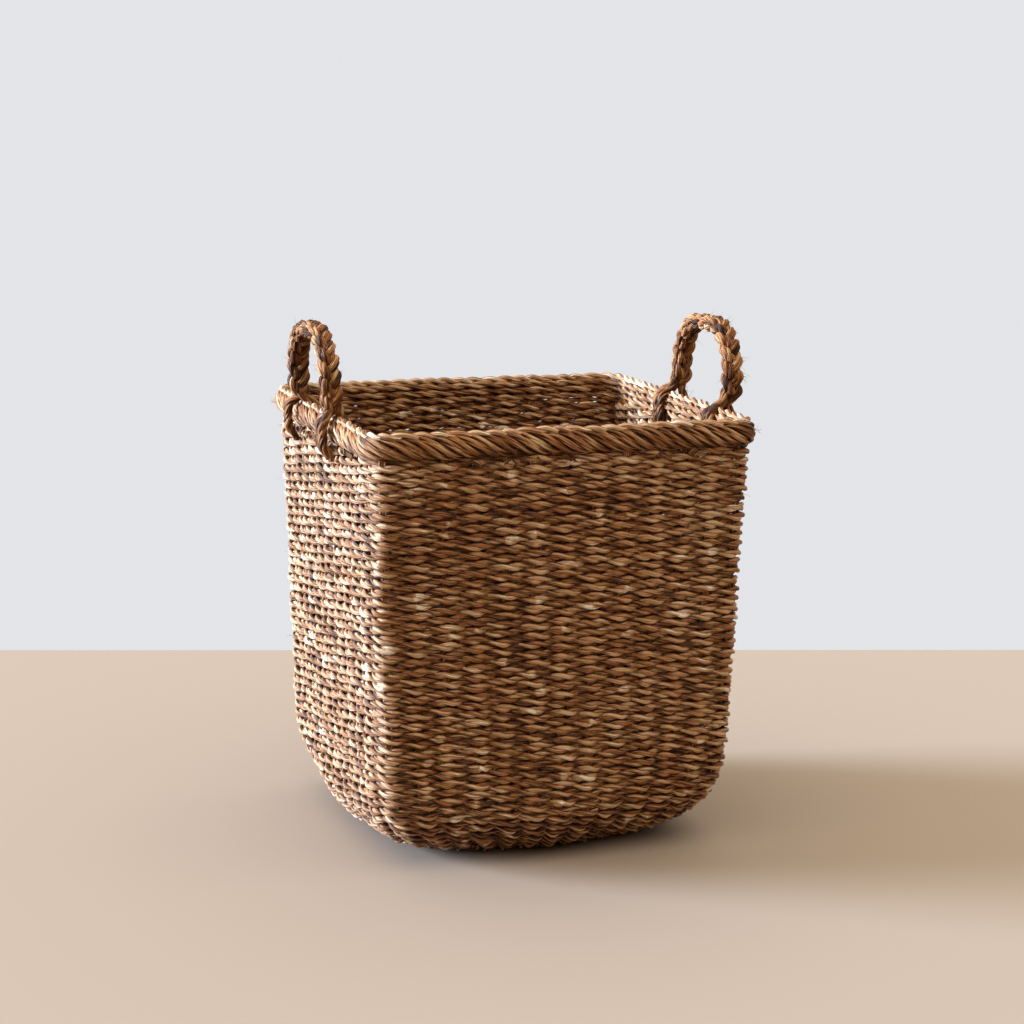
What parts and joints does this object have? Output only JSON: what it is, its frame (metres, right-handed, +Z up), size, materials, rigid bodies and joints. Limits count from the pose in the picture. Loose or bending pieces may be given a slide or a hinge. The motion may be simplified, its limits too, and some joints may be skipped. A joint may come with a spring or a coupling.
{
  "type": "seagrass storage basket",
  "caption": "Open square-topped storage basket woven from twisted seagrass cord over upright stakes, with a rolled rim and plaited loop handles that flex at the rim.",
  "frame": {"origin": "on the floor under the middle of the base", "axes": "+Z up, +X towards the right-hand handle, -Y towards the front wall"},
  "size_m": [0.3676, 0.345, 0.4589],
  "materials": {
    "weave": "matte",
    "stake": "matte",
    "rim": "matte",
    "handle": "matte"
  },
  "bodies": {
    "basket": {"base_mat": "weave", "bend_weaver_lower": "weave", "bend_weaver_upper": "weave", "wall_weaver_1": "weave", "wall_weaver_2": "weave", "wall_weaver_3": "weave", "wall_weaver_4": "weave", "wall_weaver_5": "weave", "wall_weaver_6": "weave", "wall_weaver_7": "weave", "wall_weaver_8": "weave", "wall_weaver_9": "weave", "stake_across_1": "stake", "stake_across_2": "stake", "stake_across_3": "stake", "stake_across_4": "stake", "stake_across_5": "stake", "stake_across_6": "stake", "stake_across_7": "stake", "stake_along_1": "stake", "stake_along_2": "stake", "stake_along_3": "stake", "stake_along_4": "stake", "stake_along_5": "stake", "stake_along_6": "stake", "stake_along_7": "stake", "stakes_side_left": "stake", "stakes_side_right": "stake", "stakes_side_front": "stake", "stakes_side_back": "stake", "stakes_corner": "stake", "rim_border": "rim", "rim_edge_cord": "rim", "rim_cut_ends": "stake", "tail_left_front_inner": "handle", "tail_left_front_outer": "handle", "tail_left_back_inner": "handle", "tail_left_back_outer": "handle", "tail_right_front_inner": "handle", "tail_right_front_outer": "handle", "tail_right_back_inner": "handle", "tail_right_back_outer": "handle"},
    "handle_left": {"handle_left_strand_1": "handle", "handle_left_strand_2": "handle", "handle_left_strand_3": "handle"},
    "handle_right": {"handle_right_strand_1": "handle", "handle_right_strand_2": "handle", "handle_right_strand_3": "handle"}
  },
  "joints": [
    {"name": "handle_left_flex", "type": "hinge", "parent": "basket", "child": "handle_left", "pos_m": [-0.169, 0, 0.3895], "axis": [0, 1, 0], "range_deg": [-60, 60], "stiffness_Nm_per_rad": 0.5},
    {"name": "handle_right_flex", "type": "hinge", "parent": "basket", "child": "handle_right", "pos_m": [0.169, 0, 0.3895], "axis": [0, -1, 0], "range_deg": [-60, 60], "stiffness_Nm_per_rad": 0.5}
  ]
}
